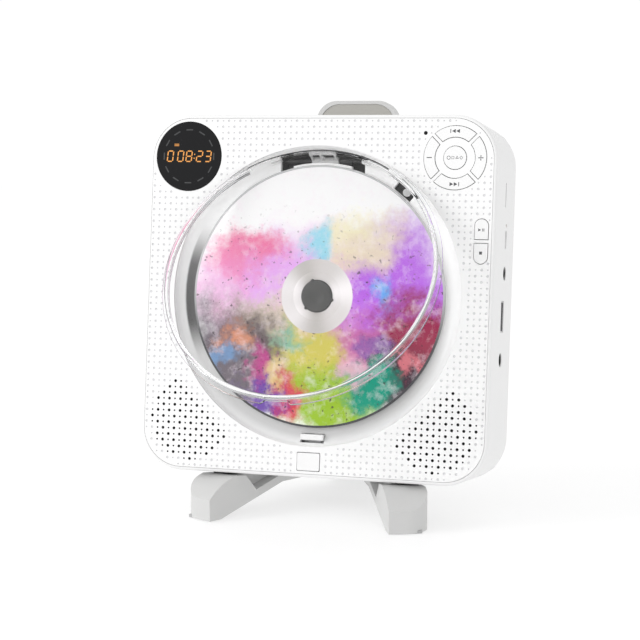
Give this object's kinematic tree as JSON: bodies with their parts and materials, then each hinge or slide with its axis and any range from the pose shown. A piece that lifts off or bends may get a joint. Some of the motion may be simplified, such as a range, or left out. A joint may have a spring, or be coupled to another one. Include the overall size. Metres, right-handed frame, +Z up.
{
  "type": "wall mounted cd player",
  "caption": "Square wall disc player with a hinged clear lid over its disc, leaning on a two-legged desk stand with a tall spine.",
  "frame": {"origin": "under the middle of the outer box, on the table, with the lid at rest open", "axes": "+Z up, -Y out of the front, +X to the viewer's right of the front"},
  "size_m": [0.165, 0.1614, 0.1913],
  "materials": {
    "case_white": "fine satin moulded",
    "fascia_white": "fine satin moulded with grey dimples",
    "key_white": "satin moulded",
    "window_black": "polished smoke black",
    "lid_clear": "polished clear",
    "deck_dark": "fine matt",
    "hub_grey": "fine matt",
    "disc_print": "printed, with a clear silver inner ring",
    "stand_grey": "fine matt moulded",
    "pad_rubber": "matt",
    "steel": "plated",
    "board_green": "solder mask",
    "pack_blue": "shrink sleeve",
    "socket_black": "moulded",
    "gear_white": "self-lubricating moulded",
    "lens_clear": "coated",
    "cone_black": "pressed",
    "lamp_amber": "translucent"
  },
  "bodies": {
    "stand": {"stand_leg_left": "stand_grey", "stand_leg_right": "stand_grey", "stand_hub": "stand_grey", "stand_spine": "stand_grey", "stand_screws": "steel", "foot_pads": "pad_rubber", "rubber_pads": "pad_rubber"},
    "lid": {"dust_lid": "lid_clear", "lid_hinge_arm": "key_white"},
    "platter": {"disc": "disc_print", "disc_hub": "hub_grey", "turntable": "hub_grey"},
    "sled": {"laser_sled": "deck_dark", "objective_lens": "lens_clear"},
    "gear": {"drive_gear": "gear_white"},
    "pinion": {"motor_pinion": "gear_white"},
    "opener": {"open_button": "key_white"},
    "latch": {"lid_latch": "key_white"},
    "slider": {"power_slider": "key_white"},
    "next": {"next_key": "key_white"},
    "previous": {"previous_key": "key_white"},
    "louder": {"louder_key": "key_white"},
    "quieter": {"quieter_key": "key_white"},
    "mode": {"mode_key": "key_white"},
    "play": {"play_key": "key_white"},
    "stop": {"stop_key": "key_white"},
    "player": {"front_fascia": "fascia_white", "front_shell": "case_white", "rear_cover": "case_white", "housing_screws": "steel", "display_window": "window_black", "display_board": "board_green", "infrared_window": "window_black", "key_board": "board_green", "deck_tray": "deck_dark", "mech_chassis": "steel", "dampers": "pad_rubber", "chassis_screws": "steel", "guide_rods": "steel", "sled_motor": "steel", "spindle_motor": "steel", "hinge_pin": "steel", "lid_spring": "steel", "hinge_bracket": "deck_dark", "lid_switch": "socket_black", "speaker_basket_left": "steel", "speaker_basket_right": "steel", "speaker_magnet_left": "steel", "speaker_magnet_right": "steel", "speaker_cone_left": "cone_black", "speaker_cone_right": "cone_black", "main_board": "board_green", "audio_jack": "socket_black", "power_inlet": "socket_black", "usb_port": "steel", "card_socket": "steel", "slide_switch": "steel", "charge_lamp": "lamp_amber", "battery_pack": "pack_blue"}
  },
  "joints": [
    {"name": "player_lift", "type": "slide", "parent": "stand", "child": "player", "axis": [0, 0.1184, 0.993], "range_m": [0, 0.1]},
    {"name": "lid_swing", "type": "hinge", "parent": "player", "child": "lid", "pos_m": [0, -0.00348, 0.16288], "axis": [1, 0, 0], "range_deg": [0, 26.4], "stiffness_Nm_per_rad": 0.03, "springref_deg": -34.38},
    {"name": "disc_spin", "type": "hinge", "parent": "player", "child": "platter", "pos_m": [0, -0.0079, 0.10046], "axis": [0, 0.993, -0.1184], "continuous": true},
    {"name": "sled_travel", "type": "slide", "parent": "player", "child": "sled", "axis": [-1, 0, 0], "range_m": [0, 0.033]},
    {"name": "gear_spin", "type": "hinge", "parent": "player", "child": "gear", "pos_m": [-0.03, -0.00883, 0.11971], "axis": [0, 0.993, -0.1184], "range_deg": [0, 236.85]},
    {"name": "pinion_spin", "type": "hinge", "parent": "player", "child": "pinion", "pos_m": [-0.03, -0.00741, 0.13162], "axis": [0, 0.993, -0.1184], "range_deg": [-473.19, 0]},
    {"name": "open_press", "type": "slide", "parent": "player", "child": "opener", "axis": [0, 0.993, -0.1184], "range_m": [0, 0.001], "stiffness_N_per_m": 300, "springref_m": -0.0015},
    {"name": "latch_release", "type": "slide", "parent": "player", "child": "latch", "axis": [0, -0.1184, -0.993], "range_m": [0, 0.001]},
    {"name": "power_slide", "type": "slide", "parent": "player", "child": "slider", "axis": [0, 0.1184, 0.993], "range_m": [0, 0.0034]},
    {"name": "next_press", "type": "slide", "parent": "player", "child": "next", "axis": [0, 0.993, -0.1184], "range_m": [0, 0.0008], "stiffness_N_per_m": 400, "springref_m": -0.001},
    {"name": "previous_press", "type": "slide", "parent": "player", "child": "previous", "axis": [0, 0.993, -0.1184], "range_m": [0, 0.0008], "stiffness_N_per_m": 400, "springref_m": -0.001},
    {"name": "louder_press", "type": "slide", "parent": "player", "child": "louder", "axis": [0, 0.993, -0.1184], "range_m": [0, 0.0008], "stiffness_N_per_m": 400, "springref_m": -0.001},
    {"name": "quieter_press", "type": "slide", "parent": "player", "child": "quieter", "axis": [0, 0.993, -0.1184], "range_m": [0, 0.0008], "stiffness_N_per_m": 400, "springref_m": -0.001},
    {"name": "mode_press", "type": "slide", "parent": "player", "child": "mode", "axis": [0, 0.993, -0.1184], "range_m": [0, 0.0008], "stiffness_N_per_m": 400, "springref_m": -0.001},
    {"name": "play_press", "type": "slide", "parent": "player", "child": "play", "axis": [0, 0.993, -0.1184], "range_m": [0, 0.0008], "stiffness_N_per_m": 400, "springref_m": -0.001},
    {"name": "stop_press", "type": "slide", "parent": "player", "child": "stop", "axis": [0, 0.993, -0.1184], "range_m": [0, 0.0008], "stiffness_N_per_m": 400, "springref_m": -0.001}
  ],
  "couplings": [
    {"joint": "gear_spin", "follows": "sled_travel", "rad_per_m": 125},
    {"joint": "pinion_spin", "follows": "sled_travel", "rad_per_m": -250},
    {"joint": "latch_release", "follows": "open_press", "ratio": 1}
  ]
}
